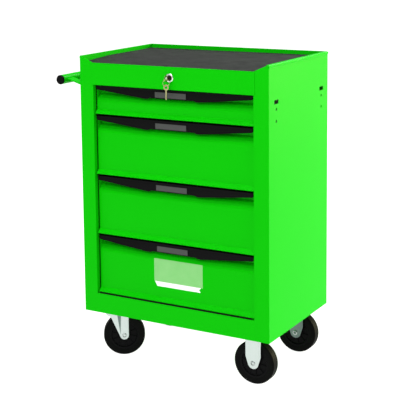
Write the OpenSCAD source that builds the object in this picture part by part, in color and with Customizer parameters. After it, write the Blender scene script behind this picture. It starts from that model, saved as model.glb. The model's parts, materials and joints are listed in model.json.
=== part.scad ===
// Rolling tool chest: folded-steel cabinet with four drawers on ball-bearing slides, a lowered
// front lip around the worktop, a side push handle, a keyed lock and four wheeled casters.
// All sizes are in millimetres. +X is the chest's right, +Y its back and +Z up.

/* [Cabinet] */
// Outside width of the cabinet body
cab_w = 615; // [500:1:760]
// Outside depth of the cabinet body
cab_d = 400; // [320:1:500]
// Height of the cabinet body from the skirt to the rim
cab_h = 772; // [600:1:900]
// Height of the skirt's lower edge above the floor
ground_gap = 143; // [130:1:170]
// Thickness of the folded steel sheet
sheet = 1.2; // [0.8:0.1:2]
// Width of the front posts
post_w = 46; // [30:1:60]
// Depth of the post's inward return beside the drawers
post_return = 14; // [8:1:20]
// Height of the front rail under the worktop lip
top_rail_h = 65; // [50:1:90]
// Height of the rail under the lowest drawer
bottom_rail_h = 59; // [40:1:90]
// Drop of the worktop's front lip below the rim
lip_drop = 19; // [10:0.5:30]
// Height of the bottom sheet above the skirt's edge
bottom_recess = 13; // [8:1:25]

/* [Worktop] */
// Width of the rolled rim seen from above
rim_w = 8; // [5:0.5:14]
// Height of the rolled rim's outer band
rim_band = 10.5; // [6:0.5:16]
// Distance the rim stands proud of the side sheet
rim_proud = 1.5; // [1.3:0.1:3]
// Thickness of the rubber worktop mat
mat_t = 3; // [2:0.5:6]
// Depth of the mat's top surface below the rim
mat_drop = 12; // [8:0.5:18]
// Length over which the worktop dips towards the front lip
dip_len = 145; // [60:1:200]

/* [Drawers] */
// Number of height units that share the opening
units = 7; // [5:1:9]
// Gap between a drawer front and the post on each side
front_side_gap = 3; // [2:0.5:6]
// Gap under each drawer front
front_under_gap = 4; // [2:0.5:6]
// Gap over each drawer front
front_over_gap = 2; // [1:0.5:4]
// Depth of the drawer face behind the cabinet's front
face_recess = 15; // [8:1:25]
// Distance of the flared lower lip behind the cabinet's front
flare_recess = 4; // [2:0.5:8]
// Height of the flared lower lip
flare_h = 12; // [8:1:20]
// Height of the finger pocket at the top of a drawer front
pocket_h = 50; // [36:1:60]
// Depth of the finger pocket behind the drawer face
pocket_depth = 20; // [12:1:30]
// Length of the drawer box behind its front sheet
box_len = 340; // [260:1:420]
// Height of the shallow drawer's box
box_h_small = 62; // [40:1:70]
// Height of the deep drawers' boxes
box_h_large = 150; // [90:1:160]
// Thickness of the drawer box sheet
box_t = 1; // [0.8:0.1:1.6]
// Travel of every drawer
drawer_travel = 300; // [200:1:330]

/* [Drawer handles] */
// Gap between a handle's end and the post
grip_side_gap = 5.5; // [3:0.5:10]
// Distance of the handle's front behind the cabinet's front
grip_recess = 7.5; // [3:0.5:12]
// Height of the handle skirt at its ends
grip_end_h = 13; // [8:0.5:20]
// Height of the handle skirt at its two deepest points
grip_ear_h = 30; // [20:0.5:36]
// Height of the handle skirt along its middle
grip_mid_h = 26.5; // [18:0.5:34]
// Thickness of the handle's walls
grip_t = 3; // [2:0.5:4]

/* [Slides] */
// Length of a slide's fixed and drawer members
slide_len = 350; // [250:10:400]
// Thickness of a closed slide
slide_t = 12.7; // [12:0.1:14]
// Height of a slide's fixed member
slide_h = 35; // [30:1:46]
// Width of the upright channels that carry the slides
upright_w = 40; // [25:1:60]
// Distance of each upright from the middle of the depth
upright_y = 118; // [90:1:118]

/* [Side handle] */
// Distance of the tube's axis from the side sheet
handle_out = 82; // [60:1:110]
// Depth of the tube's axis below the rim
handle_drop = 78; // [50:1:110]
// Outside diameter of the tube
handle_d = 28; // [20:1:36]
// Length of the tube between its end plugs
handle_len = 366; // [250:1:390]
// Distance between the two mounting columns
mount_pitch_y = 305; // [200:1:340]
// Depth of the mounting slots below the rim
mount_slot_drop = 105; // [90:0.5:120]
// Depth of the upper mounting holes below the rim
mount_hole_a_drop = 125.5; // [115:0.5:140]
// Depth of the lower mounting holes below the rim
mount_hole_b_drop = 158.5; // [145:0.5:175]
// Diameter of the mounting holes
mount_hole_d = 7.5; // [6:0.5:10]

/* [Casters] */
// Diameter of the wheels
wheel_d = 125; // [100:1:127]
// Width of the wheels
wheel_w = 30; // [24:1:36]
// Distance of a caster's plate centre from the side
caster_x = 69; // [55:1:90]
// Distance of a caster's plate centre from the front or back
caster_y = 57; // [50:1:80]
// Trail of the swivel casters
trail = 27.5; // [20:0.5:35]
// Angle at which the swivel casters rest
swivel_rest = 33; // [0:1:90]
// Diameter of the axles
axle_d = 12; // [8:0.5:14]

/* [Lock] */
// Depth of the lock's centre below the rim
lock_drop = 50; // [35:1:60]
// Diameter of the lock's chrome ring
lock_ring_d = 25; // [18:1:30]
// Diameter of the turning cylinder
lock_core_d = 16; // [12:1:20]
// Travel of the lock bar in a quarter turn
bar_drop = 10; // [6:1:12]

/* [Hidden] */
$fn = 48;
clear = 0.06;      // radial running clearance
gap = 0.4;         // end clearance beside turning parts
eps = 0.01;
hw = cab_w / 2;
hd = cab_d / 2;
rim_z = ground_gap + cab_h;
lip_z = rim_z - lip_drop;
open_top = lip_z - top_rail_h;
open_bot = ground_gap + bottom_rail_h;
open_hw = hw - post_w;
unit_h = (open_top - open_bot) / units;
floor_z = ground_gap + bottom_recess;
lock_z = rim_z - lock_drop;
mount_y = mount_pitch_y / 2;
box_hw = open_hw - slide_t;
face_y = -hd + face_recess;
pocket_y = face_y + pocket_depth;
wheel_r = wheel_d / 2;
panel_top = rim_z - 2;      // the side and back sheets end just under the rolled rim
corner_flat = 2;            // level stretch outside each sloping front corner

// drawer edges, counted from the top: one unit, then two units each
top_units = [0, 1, 3, 5];
size_units = [1, 2, 2, 2];
function d_top(n) = open_top - top_units[n] * unit_h - front_over_gap;
function d_bot(n) = open_top - (top_units[n] + size_units[n]) * unit_h + front_under_gap;
function box_h(n) = size_units[n] == 1 ? box_h_small : box_h_large;
box_lift = 4;
function slide_z(n) = d_bot(n) + box_lift + (size_units[n] == 1 ? 27 : 60);

// side handle and its brackets
tube_x = -hw - handle_out;
tube_z = rim_z - handle_drop;
tube_r = handle_d / 2;
plug_head = 6;
strap_t = 4;
strap_w = 30;
strap_fall = 0.3;      // fall of the strap for each millimetre towards the cabinet
slot_w = 26;
slot_h = 11;
bracket_hole_r = 3.1;
bolt_r = 3;
hook_half = 11;
hook_t = 4;
hook_in = 5;

// casters
plate_t = 3;
fork_t = 3;
fork_half = 21;
crown_top = floor_z - plate_t - 15;
kingpin_r = 6;
race_r = 23;
crown_r = 29;
crown_back = 27;
axle_r = axle_d / 2;
tip_r = 17;
swivel_tip_r = 13.5;
plate_x = 92;
plate_y = 78;
bolt_x = 72;
bolt_y = 56;
plate_bolt_r = 4;
tyre_in_r = 44;

// drawer handles: places along the skirt's lower edge, counted from its middle
ear_out = 88;
ear_in = 79;
arch_half = 72;
end_chamfer = [4, 2.5];

// lock, keys and bar
core_r = lock_core_d / 2;
barrel_r = core_r + 3;
core_front = -hd - 3.5;
barrel_back = -hd + 20;
cam_t = 3;
cam_y = barrel_back + gap;
cam_pin_arm = bar_drop;
cam_pin_r = 2.5;
bar_t = 2;
bar_y = cam_y + cam_t + 2.5;
bar_arm_h = 24;
bar_leg_x = open_hw + 9;
bar_leg_w = 20;
bow_r = 9.5;
bow_hole_r = 4.5;
bow_y = -hd - 20.5;
key_t = 2;
blade_h = 7.5;
ring_wire = 0.8;
ring_r = 9.5;
ring_top = lock_z - 2.5;
spare_z = ring_top - 2 * ring_r - 2.5;
spare_bow_r = 8;
spare_tip = d_top(0) + 0.8;     // just over the top drawer, which slides out under it

// the whole chest is centred on its own outline, standing on the floor
x_lo = tube_x - tube_r - 0.2;
x_hi = hw + rim_proud;
y_lo = bow_y - bow_r;
y_hi = hd + rim_proud;
ox = -(x_lo + x_hi) / 2;
oy = -(y_lo + y_hi) / 2;

green = [0.08, 0.8, 0.05];
black = [0.07, 0.07, 0.07];
zinc = [0.8, 0.82, 0.82];
steel = [0.62, 0.64, 0.66];

// ---------- small helpers ----------
// box given by its two corners
module bx(a, b) {
    translate([min(a[0], b[0]), min(a[1], b[1]), min(a[2], b[2])])
        cube([abs(b[0] - a[0]), abs(b[1] - a[1]), abs(b[2] - a[2])]);
}

module placed() {
    translate([ox, oy, 0])
        children();
}

module both_sides() {
    children();
    mirror([1, 0, 0])
        children();
}

// outline in Y and Z pushed along X between x0 and x1
module along_x(x0, x1) {
    translate([x0, 0, 0])
        rotate([90, 0, 90])
            linear_extrude(height = x1 - x0)
                children();
}

// outline in X and Z pushed along Y between y0 and y1
module along_y(y0, y1) {
    translate([0, y1, 0])
        rotate([90, 0, 0])
            linear_extrude(height = y1 - y0)
                children();
}

// round bar along Y
module rod_y(x, y0, y1, z, r) {
    translate([x, y0, z])
        rotate([-90, 0, 0])
            cylinder(r = r, h = y1 - y0);
}

// round bar along X
module rod_x(x0, x1, y, z, r) {
    translate([x0, y, z])
        rotate([0, 90, 0])
            cylinder(r = r, h = x1 - x0);
}

// ---------- cabinet ----------
// one side sheet with its front post, return, base flange and mounting holes (right-hand one)
module side_sheet(hole_r) {
    flange = 20;
    back_flange = 22;
    flange_lift = 4;
    past = 3;
    difference() {
        union() {
            bx([hw - sheet, -hd, ground_gap], [hw, hd - sheet, panel_top]);
            along_y(-hd, -hd + sheet)
                polygon([[open_hw, ground_gap], [hw, ground_gap], [hw, rim_z],
                    [hw - corner_flat, rim_z], [open_hw, lip_z]]);
            bx([open_hw, -hd, open_bot], [open_hw + sheet, -hd + post_return, open_top]);
            bx([hw - back_flange, hd - 2 * sheet, floor_z + flange_lift], [hw, hd - sheet, open_top]);
            bx([hw - flange, -hd, ground_gap], [hw, hd - sheet, ground_gap + sheet]);
        }
        for (s = [-1, 1]) {
            bx([hw - past, s * mount_y - slot_w / 2, rim_z - mount_slot_drop - slot_h / 2],
                [hw + past, s * mount_y + slot_w / 2, rim_z - mount_slot_drop + slot_h / 2]);
            rod_x(hw - past, hw + past, s * mount_y, rim_z - mount_hole_a_drop, hole_r);
            rod_x(hw - past, hw + past, s * mount_y, rim_z - mount_hole_b_drop, hole_r);
        }
    }
}

module side_panel_left() {
    color(green)
        placed()
            mirror([1, 0, 0])
                side_sheet(bracket_hole_r);
}

module side_panel_right() {
    color(green)
        placed()
            side_sheet(mount_hole_d / 2);
}

module back_panel() {
    color(green)
        placed()
            bx([-hw, hd - sheet, ground_gap], [hw, hd, panel_top]);
}

module bottom_panel() {
    stiff_w = 90;
    color(green)
        placed() {
            bx([-hw + sheet, -hd + sheet, floor_z], [hw - sheet, hd - 2 * sheet - eps, floor_z + sheet]);
            both_sides()
                bx([hw - caster_x - stiff_w / 2, -hd + sheet, floor_z + sheet],
                    [hw - caster_x + stiff_w / 2, hd - 3 * sheet, floor_z + 3 * sheet]);
        }
}

// worktop tray: floor that dips to the front lip, low walls, rolled rims and corner gussets
module top_tray() {
    floor_top = rim_z - mat_drop - mat_t;
    dip = lip_z - mat_t;
    in_x = hw - rim_w;
    in_y = hd - rim_w;
    rim_front = -hd + 2;
    wall_front = -hd + 30;
    color(green)
        placed() {
            along_x(-in_x - sheet, in_x + sheet)
                polygon([[-hd + sheet, dip - sheet], [-hd + dip_len, floor_top - sheet],
                    [in_y + sheet, floor_top - sheet], [in_y + sheet, floor_top],
                    [-hd + dip_len, floor_top], [-hd + sheet, dip]]);
            both_sides() {
                bx([in_x, wall_front, dip - sheet], [in_x + sheet, in_y + sheet, rim_z]);
                bx([in_x, rim_front, rim_z - sheet], [hw + rim_proud, hd, rim_z]);
                bx([hw + rim_proud - sheet, rim_front, rim_z - rim_band],
                    [hw + rim_proud, hd + rim_proud, rim_z]);
                tray_gusset(in_x, wall_front, dip);
            }
            bx([-in_x - sheet, in_y, floor_top - sheet], [in_x + sheet, in_y + sheet, rim_z]);
            bx([-hw - rim_proud, in_y, rim_z - sheet], [hw + rim_proud, hd + rim_proud, rim_z]);
            bx([-hw - rim_proud, hd + rim_proud - sheet, rim_z - rim_band],
                [hw + rim_proud, hd + rim_proud, rim_z]);
        }
}

// folded corner that leads the rim down to the front lip: a sloping web and a side cheek
module tray_gusset(in_x, wall_front, dip) {
    front = -hd + sheet;
    cheek_h = 6;
    lap = 1;
    ax = hw - corner_flat;
    cx = in_x + sheet / 2;
    slope_x = (rim_z - lip_z) / (ax - open_hw);
    slope_y = (dip - rim_z - slope_x * (cx - ax)) / (wall_front - front);
    rise = rim_z - sheet - slope_x * ax - slope_y * front;
    multmatrix([[1, 0, 0, 0], [0, 1, 0, 0], [slope_x, slope_y, 1, rise], [0, 0, 0, 1]])
        translate([0, 0, -sheet])
            linear_extrude(height = sheet)
                polygon([[ax, front], [open_hw, front], [cx, wall_front]]);
    along_x(in_x, in_x + sheet)
        polygon([[front, rim_z - sheet / 2], [front, rim_z - cheek_h],
            [wall_front + lap, dip - sheet], [wall_front + lap, rim_z - sheet / 2]]);
}

module top_rail() {
    lap = 4;
    back_fold = 12;
    past = 2;
    hole_fit = 0.1;
    front = -hd - sheet;
    color(green)
        placed()
            difference() {
                union() {
                    bx([-open_hw - lap, front, open_top], [open_hw + lap, -hd, lip_z]);
                    bx([-open_hw, -hd - eps, open_top], [open_hw, -hd + post_return, open_top + sheet]);
                    bx([-open_hw, -hd + post_return - sheet, open_top],
                        [open_hw, -hd + post_return, open_top + back_fold]);
                }
                rod_y(0, front - past, -hd + past, lock_z, barrel_r + hole_fit);
            }
}

module bottom_rail() {
    back_fold = 24;
    foot = 20;
    notch = 7;
    end_gap = 1;
    color(green)
        placed() {
            bx([-open_hw, -hd, ground_gap], [open_hw, -hd + sheet, open_bot]);
            translate([0, 0, open_bot - sheet])
                linear_extrude(height = sheet)
                    polygon([[-open_hw + end_gap, -hd], [open_hw - end_gap, -hd],
                        [open_hw - notch, -hd + post_return], [-open_hw + notch, -hd + post_return]]);
            bx([-open_hw + notch, -hd + post_return - sheet, open_bot - back_fold],
                [open_hw - notch, -hd + post_return, open_bot - sheet / 2]);
            bx([-open_hw, -hd, ground_gap], [open_hw, -hd + foot, ground_gap + sheet]);
        }
}

module top_mat() {
    floor_top = rim_z - mat_drop - mat_t + gap / 4;
    dip = lip_z - mat_t + gap / 4;
    edge_gap = 0.5;
    in_x = hw - rim_w - edge_gap;
    in_y = hd - rim_w - edge_gap;
    front = -hd + sheet + gap / 2;
    corner_x = open_hw - 2;
    corner_y = front + 30;
    color(black)
        placed()
            intersection() {
                along_x(-in_x, in_x)
                    polygon([[front, dip], [-hd + dip_len, floor_top], [in_y, floor_top],
                        [in_y, floor_top + mat_t], [-hd + dip_len, floor_top + mat_t],
                        [front, dip + mat_t]]);
                translate([0, 0, lip_z - lip_drop])
                    linear_extrude(height = 2 * lip_drop)
                        polygon([[-corner_x, front - 1], [corner_x, front - 1],
                            [in_x, corner_y], [in_x, in_y + 1], [-in_x, in_y + 1],
                            [-in_x, corner_y]]);
            }
}

// upright channels between the side sheets and the slides
module slide_uprights() {
    t = 1.5;
    low = floor_z + 3 * sheet + 1;
    high = open_top - 6;
    color(zinc)
        placed()
            both_sides()
                for (s = [-1, 1]) {
                    bx([open_hw, s * upright_y - upright_w / 2, low],
                        [open_hw + t, s * upright_y + upright_w / 2, high]);
                    bx([open_hw, s * upright_y - upright_w / 2, low],
                        [hw - sheet, s * upright_y - upright_w / 2 + t, high]);
                    bx([open_hw, s * upright_y + upright_w / 2 - t, low],
                        [hw - sheet, s * upright_y + upright_w / 2, high]);
                }
}

// ---------- slides ----------
// channel section between two distances from the fixed face, open towards the drawer
module slide_channel(u0, u1, half_h, t, web_u, y0, y1, z) {
    x_web = open_hw - web_u;
    bx([x_web - t, y0, z - half_h], [x_web, y1, z + half_h]);
    bx([open_hw - u1, y0, z + half_h - t], [open_hw - u0, y1, z + half_h]);
    bx([open_hw - u1, y0, z - half_h], [open_hw - u0, y1, z - half_h + t]);
}

module slide_outer(n) {
    t = 1.5;
    depth = 7.5;
    color(zinc)
        placed()
            both_sides()
                slide_channel(0, depth, slide_h / 2, t, 0, -slide_len / 2, slide_len / 2, slide_z(n));
}

module slide_mid(n) {
    t = 1.4;
    shorter = 4;
    from = 3;
    to = 10.3;
    web = 5;
    nest = 3.9;
    color(zinc)
        placed()
            both_sides()
                slide_channel(from, to, slide_h / 2 - nest, t, web, -slide_len / 2 + shorter,
                    slide_len / 2 - shorter, slide_z(n));
}

module slide_inner(n) {
    t = 1.4;
    from = 7.4;
    nest = 8;
    color(zinc)
        placed()
            both_sides()
                slide_channel(from, slide_t, slide_h / 2 - nest, t, slide_t - t, -slide_len / 2,
                    slide_len / 2, slide_z(n));
}

module slide_outer_1() { slide_outer(0); }
module slide_outer_2() { slide_outer(1); }
module slide_outer_3() { slide_outer(2); }
module slide_outer_4() { slide_outer(3); }
module slide_mid_1() { slide_mid(0); }
module slide_mid_2() { slide_mid(1); }
module slide_mid_3() { slide_mid(2); }
module slide_mid_4() { slide_mid(3); }
module slide_inner_1() { slide_inner(0); }
module slide_inner_2() { slide_inner(1); }
module slide_inner_3() { slide_inner(2); }
module slide_inner_4() { slide_inner(3); }

// ---------- drawers ----------
// open box: floor, four walls and a folded edge along the top of each side
module drawer_box(n) {
    z0 = d_bot(n) + box_lift;
    z1 = z0 + box_h(n);
    y0 = pocket_y + 2 * sheet;
    y1 = y0 + box_len;
    fold = 7;
    color(green)
        placed() {
            bx([-box_hw, y0, z0], [box_hw, y1, z0 + box_t]);
            bx([-box_hw, y0, z0], [box_hw, y0 + box_t, z1]);
            bx([-box_hw, y1 - box_t, z0], [box_hw, y1, z1]);
            both_sides() {
                bx([box_hw - box_t, y0, z0], [box_hw, y1, z1]);
                bx([box_hw - fold, y0, z1 - box_t], [box_hw, y1, z1]);
            }
        }
}

// bend of the finger pocket, as shares of its depth and of its height
pocket_curve = [[0, 0], [0.08, 0.25], [0.26, 0.52], [0.55, 0.78], [1, 1]];

// front sheet: finger pocket at the top, flat face, flared lip at the foot
module drawer_front(n) {
    b = d_bot(n);
    t = d_top(n);
    fw = open_hw - front_side_gap;
    s = sheet;
    lip_y = -hd + flare_recess;
    foot = 2;
    skin = 0.5;
    lean = 0.8;
    back = pocket_y + 2 * s;
    back_top = t - 3;
    back_wall = 26;
    rise = pocket_h - back_wall;
    low_web = b + flare_h + 2;
    high_web = t - 16;
    edge_fold = 3;
    last = len(pocket_curve) - 1;
    color(green)
        placed() {
            along_x(-fw, fw)
                polygon(concat(
                    [[lip_y, b], [lip_y, b + foot], [face_y, b + flare_h]],
                    [for (c = pocket_curve) [face_y + c[0] * pocket_depth, t - pocket_h + c[1] * rise]],
                    [[pocket_y, back_top], [pocket_y + s, back_top]],
                    [for (i = [last:-1:0]) [face_y + s + pocket_curve[i][0] * pocket_depth,
                        t - pocket_h - lean + pocket_curve[i][1] * rise]],
                    [[face_y + s, b + flare_h + skin], [lip_y + s, b + foot + skin], [lip_y + s, b]]));
            bx([-box_hw, face_y + s / 2, low_web], [box_hw, back, low_web + s]);
            bx([-box_hw, pocket_y + s / 2, high_web], [box_hw, back, high_web + s]);
            both_sides()
                bx([fw - s, face_y + s / 2, b + flare_h + 1],
                    [fw, face_y + edge_fold, t - pocket_h - 2]);
        }
}

// half outline of the handle's skirt, measured down from its top edge
function grip_half(w) = [
    [w, 0], [w, -grip_end_h + end_chamfer[1]], [w - end_chamfer[0], -grip_end_h],
    [ear_out, -grip_ear_h], [ear_in, -grip_ear_h], [arch_half, -grip_mid_h]
];

module grip_outline(w) {
    h = grip_half(w);
    polygon(concat(h, [for (i = [len(h) - 1:-1:0]) [-h[i][0], h[i][1]]]));
}

// full-width pull: skirt in front, top plate behind it, closed ends and two stiffening ribs
module drawer_handle(n) {
    t = d_top(n);
    w = open_hw - grip_side_gap;
    front = -hd + grip_recess;
    plate = 2.5;
    rib_x = 165;
    rib_t = 2.5;
    rib_h = 9;
    color(black)
        placed() {
            translate([0, 0, t])
                along_y(front, front + grip_t)
                    grip_outline(w);
            bx([-w, front, t - plate], [w, pocket_y, t]);
            both_sides() {
                bx([w - grip_t, front, t - grip_end_h + end_chamfer[1]], [w, pocket_y - eps, t]);
                bx([rib_x, front, t - rib_h], [rib_x + rib_t, pocket_y - eps, t]);
            }
        }
}

module drawer_box_1() { drawer_box(0); }
module drawer_box_2() { drawer_box(1); }
module drawer_box_3() { drawer_box(2); }
module drawer_box_4() { drawer_box(3); }
module drawer_front_1() { drawer_front(0); }
module drawer_front_2() { drawer_front(1); }
module drawer_front_3() { drawer_front(2); }
module drawer_front_4() { drawer_front(3); }
module drawer_handle_1() { drawer_handle(0); }
module drawer_handle_2() { drawer_handle(1); }
module drawer_handle_3() { drawer_handle(2); }
module drawer_handle_4() { drawer_handle(3); }

// ---------- side handle ----------
module handle_tube() {
    wall = 1.6;
    color(green)
        placed()
            difference() {
                rod_y(tube_x, -handle_len / 2, handle_len / 2, tube_z, tube_r);
                rod_y(tube_x, -handle_len / 2 - 1, handle_len / 2 + 1, tube_z, tube_r - wall);
            }
}

module handle_end_caps() {
    plug_in = 14;
    overlap = 0.2;
    plug_r = tube_r - 1.65;
    color(black)
        placed()
            for (s = [0, 1])
                mirror([0, s, 0]) {
                    rod_y(tube_x, handle_len / 2, handle_len / 2 + plug_head, tube_z,
                        tube_r + overlap);
                    rod_y(tube_x, handle_len / 2 - plug_in, handle_len / 2 + 1, tube_z, plug_r);
                }
}

// strap from the tube down to the side, a flange with two bolts and a hook in the slot
module handle_brackets() {
    far = tube_x + tube_r - 3;
    near = -hw;
    under_axis = 16.5;
    below_hole = 16;
    bend = 3;
    past = 9;
    z_near = tube_z - under_axis;
    z_far = z_near + strap_fall * (near - far);
    low = rim_z - mount_hole_b_drop - below_hole;
    slot_z = rim_z - mount_slot_drop;
    color(green)
        placed()
            for (s = [-1, 1])
                difference() {
                    union() {
                        along_y(s * mount_y - strap_w / 2, s * mount_y + strap_w / 2)
                            polygon([[far, z_far], [near, z_near], [near, low],
                                [near - strap_t, low], [near - strap_t, z_near - bend],
                                [far, z_far - strap_t]]);
                        bx([near - strap_t, s * mount_y - hook_half, slot_z - hook_t],
                            [near + hook_in, s * mount_y + hook_half, slot_z]);
                        bx([near + sheet + clear, s * mount_y - hook_half, slot_z - hook_t - 1],
                            [near + hook_in, s * mount_y + hook_half, slot_z]);
                    }
                    rod_y(tube_x, -hd, hd, tube_z, tube_r);
                    for (d = [mount_hole_a_drop, mount_hole_b_drop])
                        rod_x(near - past, near + 1, s * mount_y, rim_z - d, bracket_hole_r);
                }
}

module bracket_bolts() {
    head_r = 6.5;
    head_h = 4;
    nut_r = 6.4;
    nut_h = 5;
    tail = 9;
    color(steel)
        placed()
            for (s = [-1, 1])
                for (d = [mount_hole_a_drop, mount_hole_b_drop]) {
                    rod_x(-hw - strap_t - head_h, -hw - strap_t, s * mount_y, rim_z - d, head_r);
                    rod_x(-hw - strap_t - 1, -hw + tail, s * mount_y, rim_z - d, bolt_r);
                    translate([-hw + sheet, s * mount_y, rim_z - d])
                        rotate([0, 90, 0])
                            cylinder(r = nut_r, h = nut_h, $fn = 6);
                }
}

// ---------- casters ----------
module plate(x, y) {
    translate([x, y, floor_z - plate_t])
        difference() {
            bx([-plate_x / 2, -plate_y / 2, 0], [plate_x / 2, plate_y / 2, plate_t]);
            for (i = [-1, 1])
                for (j = [-1, 1])
                    translate([i * bolt_x / 2, j * bolt_y / 2, -1])
                        cylinder(r = plate_bolt_r, h = plate_t + 2);
        }
}

// fixed part of both swivel casters: plate, ball race and kingpin
module swivel_plates() {
    rivet_r = 9;
    color(zinc)
        placed()
            for (s = [-1, 1]) {
                plate(-hw + caster_x, s * (hd - caster_y));
                translate([-hw + caster_x, s * (hd - caster_y), 0]) {
                    translate([0, 0, crown_top + gap])
                        cylinder(r = race_r, h = floor_z - crown_top - gap - plate_t + eps);
                    translate([0, 0, crown_top - fork_t - gap - 1])
                        cylinder(r = kingpin_r, h = fork_t + 3 * gap + 1);
                    translate([0, 0, crown_top - fork_t - gap - 3.5])
                        cylinder(r = rivet_r, h = 3.5);
                }
            }
}

// outline of a swivel fork's leg; the axle is at the origin and the kingpin at x = -trail
module swivel_leg() {
    top = crown_top - wheel_r;
    difference() {
        union() {
            circle(r = swivel_tip_r);
            polygon([[-0.88 * swivel_tip_r, -0.47 * swivel_tip_r], [swivel_tip_r, 0],
                [swivel_tip_r, top], [-trail - crown_back, top], [-trail - crown_back, top - 9],
                [-trail - 23, top - 13], [-trail - 13, top - 17]]);
        }
        circle(r = axle_r + 0.05);
    }
}

module swivel_fork(s) {
    color(zinc)
        placed()
            translate([-hw + caster_x, s * (hd - caster_y), 0])
                rotate([0, 0, swivel_rest]) {
                    difference() {
                        union() {
                            translate([0, 0, crown_top - fork_t])
                                cylinder(r = crown_r, h = fork_t);
                            bx([-crown_back, -fork_half, crown_top - fork_t],
                                [trail + swivel_tip_r, fork_half, crown_top]);
                        }
                        translate([0, 0, crown_top - fork_t - 1])
                            cylinder(r = kingpin_r + clear, h = fork_t + 2);
                    }
                    for (side = [0, 1])
                        mirror([0, side, 0])
                            translate([trail, 0, wheel_r])
                                along_y(fork_half - fork_t, fork_half)
                                    swivel_leg();
                }
}

module axle(len_half) {
    head_r = 8;
    rod_y(0, -len_half - 1, len_half + 1, 0, axle_r);
    for (side = [0, 1])
        mirror([0, side, 0])
            rod_y(0, len_half, len_half + 3, 0, head_r);
}

module swivel_axle(s) {
    color(steel)
        placed()
            translate([-hw + caster_x, s * (hd - caster_y), 0])
                rotate([0, 0, swivel_rest])
                    translate([trail, 0, wheel_r])
                        axle(fork_half);
}

// outline of a rigid fork's leg with the axle at the origin
module rigid_leg() {
    top = floor_z - plate_t - wheel_r;
    half = 24;
    difference() {
        union() {
            circle(r = tip_r);
            polygon([[-tip_r + 0.6, -4.5], [tip_r - 0.6, -4.5], [half, 19], [half, top],
                [-half, top], [-half, 19]]);
        }
        circle(r = axle_r + 0.05);
    }
}

module rigid_fork(s) {
    color(zinc)
        placed() {
            plate(hw - caster_x, s * (hd - caster_y));
            for (side = [0, 1])
                translate([hw - caster_x, s * (hd - caster_y), wheel_r])
                    mirror([0, side, 0])
                        along_y(fork_half - fork_t, fork_half)
                            rigid_leg();
        }
}

module rigid_fork_front() { rigid_fork(-1); }
module rigid_fork_back() { rigid_fork(1); }

module rigid_axles() {
    color(steel)
        placed()
            for (s = [-1, 1])
                translate([hw - caster_x, s * (hd - caster_y), wheel_r])
                    axle(fork_half);
}

module caster_bolts() {
    shank_r = 3.95;
    nut_r = 7.2;
    color(steel)
        placed()
            for (i = [-1, 1])
                for (j = [-1, 1])
                    translate([i * (hw - caster_x), j * (hd - caster_y), 0])
                        for (a = [-1, 1])
                            for (b = [-1, 1])
                                translate([a * bolt_x / 2, b * bolt_y / 2, floor_z - plate_t]) {
                                    translate([0, 0, -5])
                                        cylinder(r = nut_r, h = 5, $fn = 6);
                                    translate([0, 0, -1])
                                        cylinder(r = shank_r, h = plate_t + 1 - eps);
                                }
}

// tyre with a rounded tread, turned about the Y axis
module tyre_ring() {
    h = wheel_w / 2;
    c = 8;
    rotate([90, 0, 0])
        rotate_extrude($fn = 96)
            polygon([[tyre_in_r, -h + 1], [wheel_r - c - 6, -h], [wheel_r - c, -h],
                [wheel_r - c * 0.62, -h + c * 0.08], [wheel_r - c * 0.29, -h + c * 0.29],
                [wheel_r - c * 0.08, -h + c * 0.62], [wheel_r, -h + c], [wheel_r, h - c],
                [wheel_r - c * 0.08, h - c * 0.62], [wheel_r - c * 0.29, h - c * 0.29],
                [wheel_r - c * 0.62, h - c * 0.08], [wheel_r - c, h], [wheel_r - c - 6, h],
                [tyre_in_r, h - 1]]);
}

// plastic wheel body: thin web, outer rim and a thick hub with the axle bore
module hub_disc() {
    h = wheel_w / 2;
    hub_r = 17;
    rotate([90, 0, 0])
        rotate_extrude($fn = 96)
            polygon([[axle_r + clear, -h - 2], [hub_r, -h - 2], [hub_r + 2, -h + 5],
                [tyre_in_r - 6, -h + 5], [tyre_in_r - 5, -h + 1], [tyre_in_r, -h + 1],
                [tyre_in_r, h - 1], [tyre_in_r - 5, h - 1], [tyre_in_r - 6, h - 5],
                [hub_r + 2, h - 5], [hub_r, h + 2], [axle_r + clear, h + 2]]);
}

module at_swivel_wheel(s) {
    placed()
        translate([-hw + caster_x, s * (hd - caster_y), 0])
            rotate([0, 0, swivel_rest])
                translate([trail, 0, wheel_r])
                    children();
}

module at_rigid_wheel(s) {
    placed()
        translate([hw - caster_x, s * (hd - caster_y), wheel_r])
            children();
}

module swivel_fork_front() { swivel_fork(-1); }
module swivel_fork_back() { swivel_fork(1); }
module swivel_axle_front() { swivel_axle(-1); }
module swivel_axle_back() { swivel_axle(1); }

module tyre_front_left() {
    color(black)
        at_swivel_wheel(-1)
            tyre_ring();
}

module tyre_back_left() {
    color(black)
        at_swivel_wheel(1)
            tyre_ring();
}

module tyre_front_right() {
    color(black)
        at_rigid_wheel(-1)
            tyre_ring();
}

module tyre_back_right() {
    color(black)
        at_rigid_wheel(1)
            tyre_ring();
}

module hub_front_left() {
    color(black)
        at_swivel_wheel(-1)
            hub_disc();
}

module hub_back_left() {
    color(black)
        at_swivel_wheel(1)
            hub_disc();
}

module hub_front_right() {
    color(black)
        at_rigid_wheel(-1)
            hub_disc();
}

module hub_back_right() {
    color(black)
        at_rigid_wheel(1)
            hub_disc();
}

// ---------- lock and keys ----------
module lock_housing() {
    ring_t = 3.3;
    face = -hd - sheet;
    color(zinc)
        placed()
            difference() {
                union() {
                    rod_y(0, face - ring_t, face, lock_z, lock_ring_d / 2);
                    rod_y(0, face - 1, barrel_back, lock_z, barrel_r);
                }
                rod_y(0, face - ring_t - 1, barrel_back + 1, lock_z, core_r + clear);
            }
}

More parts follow.
